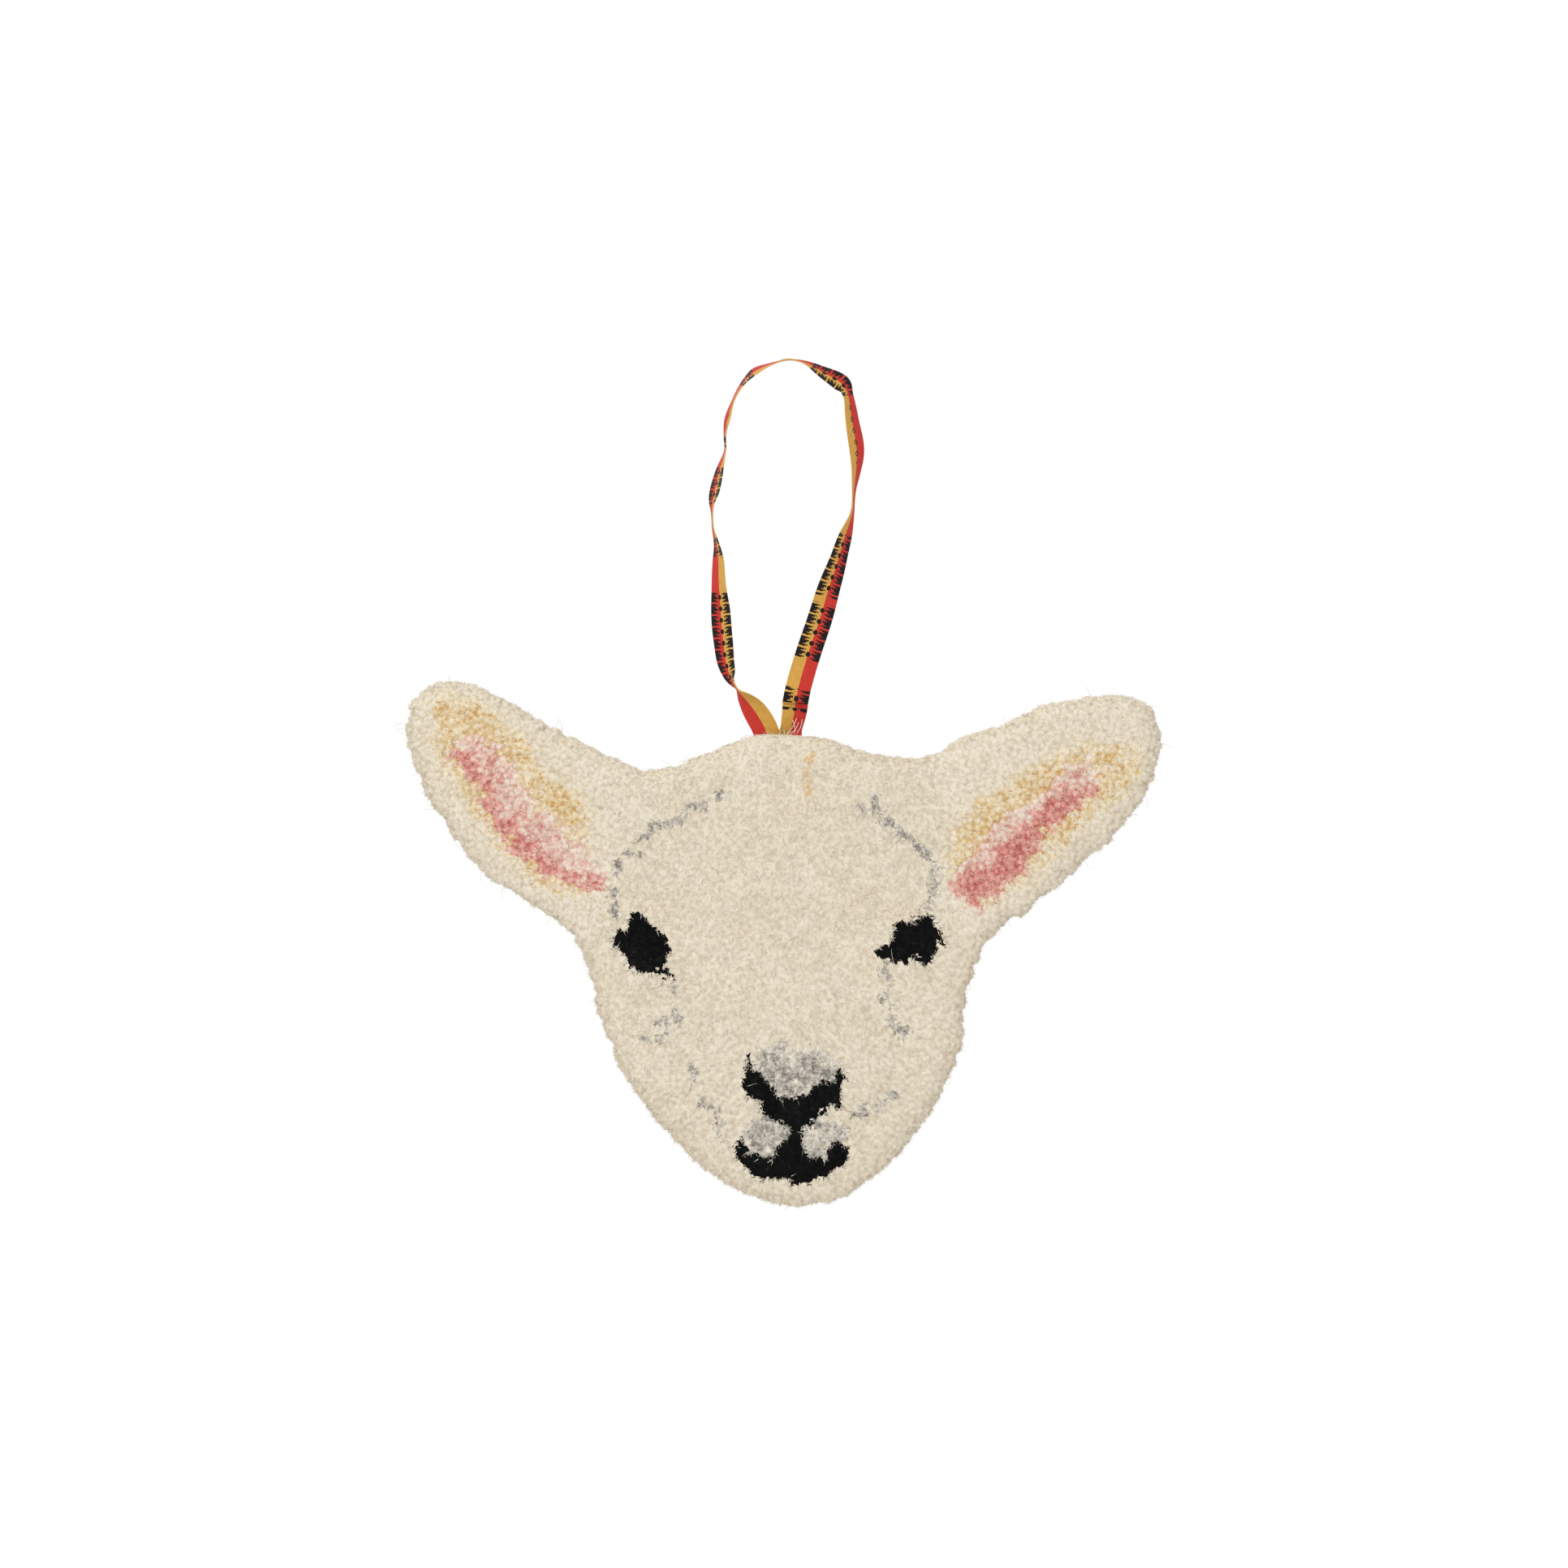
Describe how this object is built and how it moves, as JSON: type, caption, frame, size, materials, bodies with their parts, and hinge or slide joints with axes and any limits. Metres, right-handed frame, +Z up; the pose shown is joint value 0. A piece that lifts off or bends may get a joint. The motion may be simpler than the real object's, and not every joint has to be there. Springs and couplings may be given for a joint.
{
  "type": "tufted wool hanging ornament",
  "caption": "Flat lamb's head of cut wool pile on cloth, with spread ears, hung from a loop of narrow two-colour ribbon.",
  "frame": {"origin": "inside top of the ribbon loop, where a hook carries it", "axes": "+X across the face to the right as seen from the front, +Z up, +Y out of the back of the head"},
  "size_m": [0.1754, 0.0137, 0.1977],
  "materials": {
    "ivory_wool": "cut wool pile, matt and slightly fuzzy",
    "sand_wool": "cut wool pile, matt",
    "pink_wool": "cut wool pile, matt",
    "rose_wool": "cut wool pile, matt",
    "black_wool": "cut wool pile, matt",
    "grey_wool": "cut wool pile, matt",
    "ochre_wool": "cut wool pile, matt",
    "ribbon": "narrow woven ribbon, half gold and half red, with a soft sheen",
    "cotton_cloth": "plain woven cotton, matt",
    "thread": "sewing thread",
    "latex": "dried latex, satin"
  },
  "bodies": {
    "ribbon": {"ribbon_loop": "ribbon"},
    "ribbon_foot": {"ribbon_root_left": "ribbon", "ribbon_root_right": "ribbon"},
    "head": {"ribbon_end_left": "ribbon", "ribbon_end_right": "ribbon", "ribbon_tack_stitches": "thread", "back_cover": "cotton_cloth", "edge_stitches": "thread", "latex_coat": "latex", "tufting_cloth": "cotton_cloth", "face_pile": "ivory_wool", "left_ear_pile": "ivory_wool", "right_ear_pile": "ivory_wool", "left_ear_sand_pile": "sand_wool", "right_ear_sand_pile": "sand_wool", "left_ear_pink_pile": "pink_wool", "right_ear_pink_pile": "pink_wool", "left_ear_rose_pile": "rose_wool", "right_ear_rose_pile": "rose_wool", "left_eye_pile": "black_wool", "right_eye_pile": "black_wool", "nose_mouth_pile": "black_wool", "nose_grey_pile": "grey_wool", "left_muzzle_grey_pile": "grey_wool", "right_muzzle_grey_pile": "grey_wool", "left_brow_pile": "grey_wool", "right_brow_pile": "grey_wool", "left_cheek_marks_pile": "grey_wool", "right_tear_mark_pile": "grey_wool", "muzzle_marks_pile": "grey_wool", "forehead_fleck_pile": "ochre_wool"}
  },
  "joints": [
    {"name": "head_turn", "type": "hinge", "parent": "ribbon", "child": "ribbon_foot", "pos_m": [-0.0015, 0, -0.0839], "axis": [0, 0, 1], "range_deg": [-90, 90], "stiffness_Nm_per_rad": 0.0002, "deforming": ["ribbon_loop"]},
    {"name": "head_swing", "type": "hinge", "parent": "ribbon_foot", "child": "head", "pos_m": [-0.0015, 0, -0.0866], "axis": [1, 0, 0], "range_deg": [-80, 80]}
  ]
}
